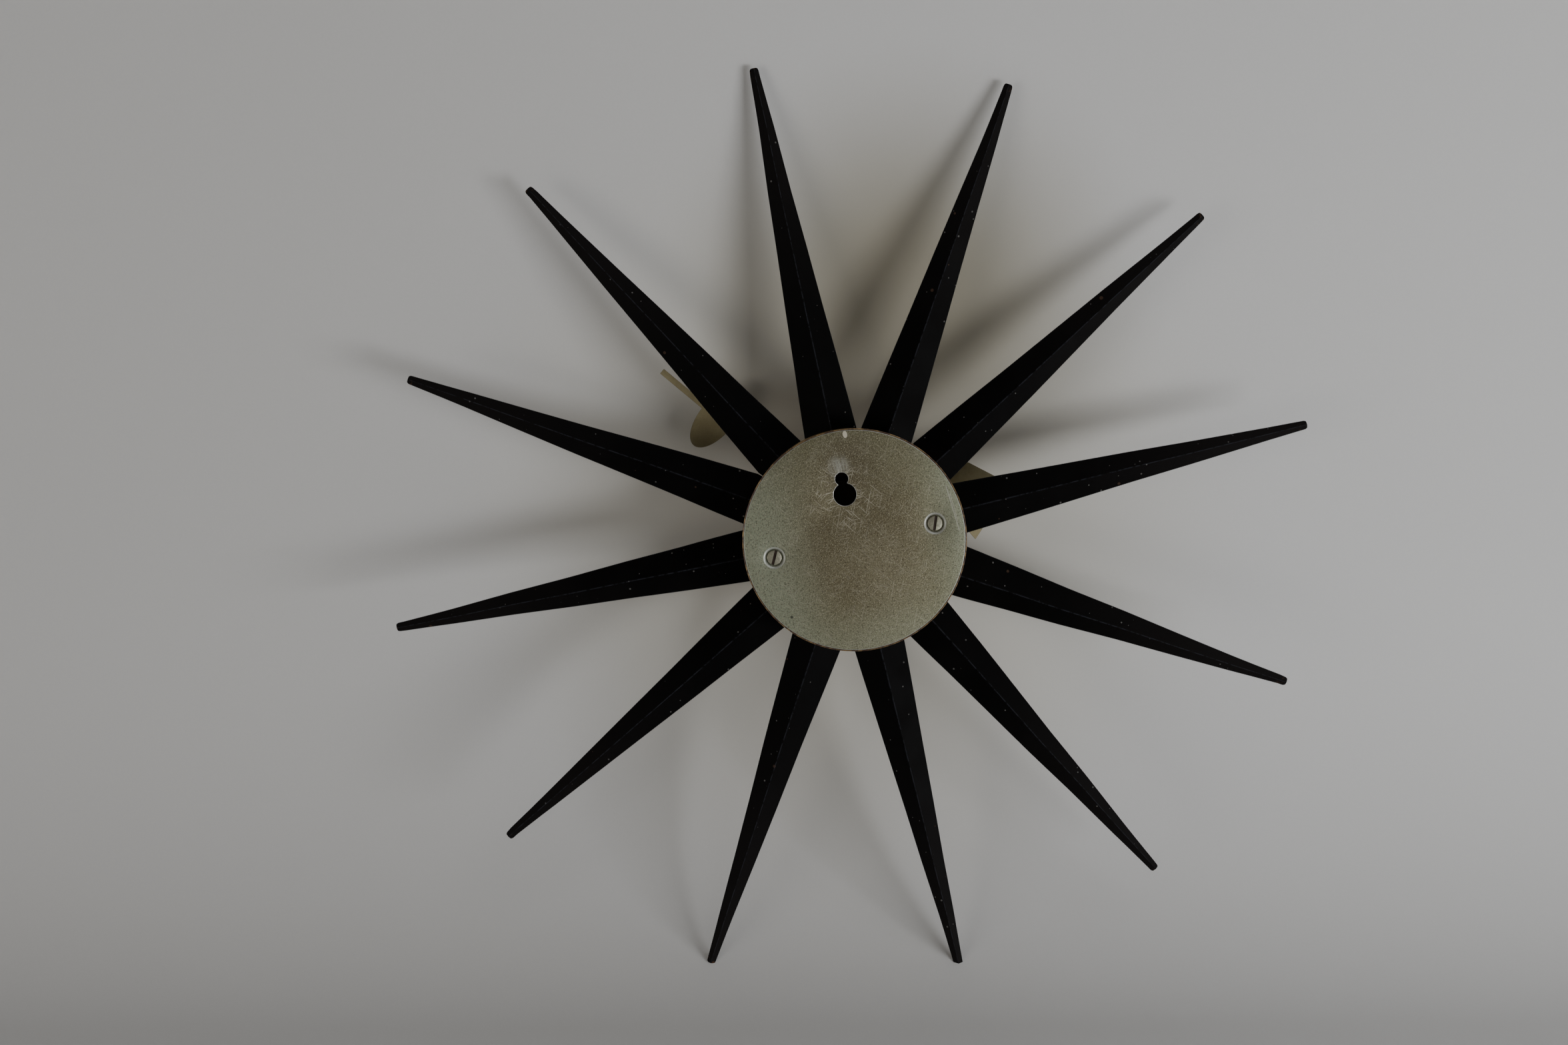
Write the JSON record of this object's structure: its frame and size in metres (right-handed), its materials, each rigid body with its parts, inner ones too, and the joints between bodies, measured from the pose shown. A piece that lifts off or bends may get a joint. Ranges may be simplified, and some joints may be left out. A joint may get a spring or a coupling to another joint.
{
  "type": "sunburst wall clock",
  "caption": "Round brass drum clock with tapered black wooden rays, an hour hand with a kite and a minute hand with an oval, hung from a keyhole in its back plate.",
  "frame": {"origin": "where the clock's axis meets the outer face of the back plate, on the wall plane", "axes": "+Y into the wall, +Z to 12 o'clock, the front faces -Y"},
  "size_m": [0.47, 0.0597, 0.4699],
  "materials": {
    "drum_brass": "spun, satin",
    "steel": "bright",
    "plate_metal": "dull, scratched",
    "post_brass": "turned",
    "screw_steel": "worn, rust in the slot",
    "rubber": "matt",
    "fitting_brass": "polished",
    "case_plastic": "matt",
    "cover_plastic": "matt",
    "bridge_plastic": "matt",
    "battery_jacket": "plain jacket",
    "contact_steel": "plated",
    "soft_iron": "annealed",
    "copper": "enamelled wire",
    "board": "solder mask",
    "can_metal": "bright",
    "gear_brass": "cut",
    "gear_plastic": "moulded",
    "magnet": "sintered",
    "hand_brass": "satin, tarnished",
    "lacquered_wood": "near-black lacquer"
  },
  "bodies": {
    "clock": {"hub_cup": "drum_brass", "ray_screws": "steel", "back_plate": "plate_metal", "plate_posts": "post_brass", "plate_screws": "screw_steel", "gasket": "rubber", "dial_washer": "fitting_brass", "hex_nut": "fitting_brass", "movement_case": "case_plastic", "movement_cover": "cover_plastic", "train_bridge": "bridge_plastic", "battery": "battery_jacket", "contact_positive": "contact_steel", "contact_negative": "contact_steel", "stator": "soft_iron", "coil": "copper", "circuit_board": "board", "crystal": "can_metal", "ray_01": "lacquered_wood", "ray_02": "lacquered_wood", "ray_03": "lacquered_wood", "ray_04": "lacquered_wood", "ray_05": "lacquered_wood", "ray_06": "lacquered_wood", "ray_07": "lacquered_wood", "ray_08": "lacquered_wood", "ray_09": "lacquered_wood", "ray_10": "lacquered_wood", "ray_11": "lacquered_wood", "ray_12": "lacquered_wood"},
    "minute": {"minute_arbor": "steel", "cannon_pinion": "gear_brass", "minute_hand": "hand_brass", "hand_nut": "fitting_brass"},
    "hour": {"hour_tube": "gear_brass", "hour_wheel": "gear_plastic", "hour_hand": "hand_brass"},
    "motion": {"motion_wheel": "gear_plastic", "motion_arbor": "steel"},
    "set": {"set_pinion": "gear_plastic", "set_arbor": "case_plastic"},
    "rotor": {"rotor_magnet": "magnet", "rotor_pinion": "gear_plastic", "rotor_arbor": "steel"},
    "intermediate": {"intermediate_wheel": "gear_plastic", "intermediate_arbor": "steel"},
    "second": {"second_wheel": "gear_plastic", "second_arbor": "steel"},
    "third": {"third_wheel": "gear_plastic", "third_arbor": "steel"},
    "centre": {"centre_wheel": "gear_brass", "centre_collet": "gear_brass"}
  },
  "joints": [
    {"name": "minute_turn", "type": "hinge", "parent": "clock", "child": "minute", "pos_m": [0, -0.04, 0], "axis": [0, 1, 0], "continuous": true},
    {"name": "hour_turn", "type": "hinge", "parent": "clock", "child": "hour", "pos_m": [0, -0.045, 0], "axis": [0, 1, 0], "continuous": true},
    {"name": "motion_turn", "type": "hinge", "parent": "clock", "child": "motion", "pos_m": [-0.01039, -0.039, 0.006], "axis": [0, 1, 0], "continuous": true},
    {"name": "set_turn", "type": "hinge", "parent": "clock", "child": "set", "pos_m": [-0.0145, -0.035, 0.01728], "axis": [0, 1, 0], "continuous": true},
    {"name": "rotor_turn", "type": "hinge", "parent": "clock", "child": "rotor", "pos_m": [-0.00759, -0.033, 0.01311], "axis": [0, 1, 0], "continuous": true},
    {"name": "intermediate_turn", "type": "hinge", "parent": "clock", "child": "intermediate", "pos_m": [-0.00048, -0.033, 0.0157], "axis": [0, 1, 0], "continuous": true},
    {"name": "second_turn", "type": "hinge", "parent": "clock", "child": "second", "pos_m": [0.00732, -0.033, 0.01707], "axis": [0, 1, 0], "continuous": true},
    {"name": "third_turn", "type": "hinge", "parent": "clock", "child": "third", "pos_m": [0.00919, -0.033, 0.00644], "axis": [0, 1, 0], "continuous": true},
    {"name": "centre_turn", "type": "hinge", "parent": "clock", "child": "centre", "pos_m": [0, -0.0369, 0], "axis": [0, 1, 0], "continuous": true}
  ],
  "couplings": [
    {"joint": "hour_turn", "follows": "minute_turn", "ratio": 0.083333},
    {"joint": "motion_turn", "follows": "minute_turn", "ratio": -0.33333},
    {"joint": "set_turn", "follows": "minute_turn", "ratio": 1},
    {"joint": "rotor_turn", "follows": "second_turn", "ratio": 30},
    {"joint": "intermediate_turn", "follows": "second_turn", "ratio": -5},
    {"joint": "third_turn", "follows": "second_turn", "ratio": -0.125},
    {"joint": "centre_turn", "follows": "second_turn", "ratio": 0.016667}
  ]
}
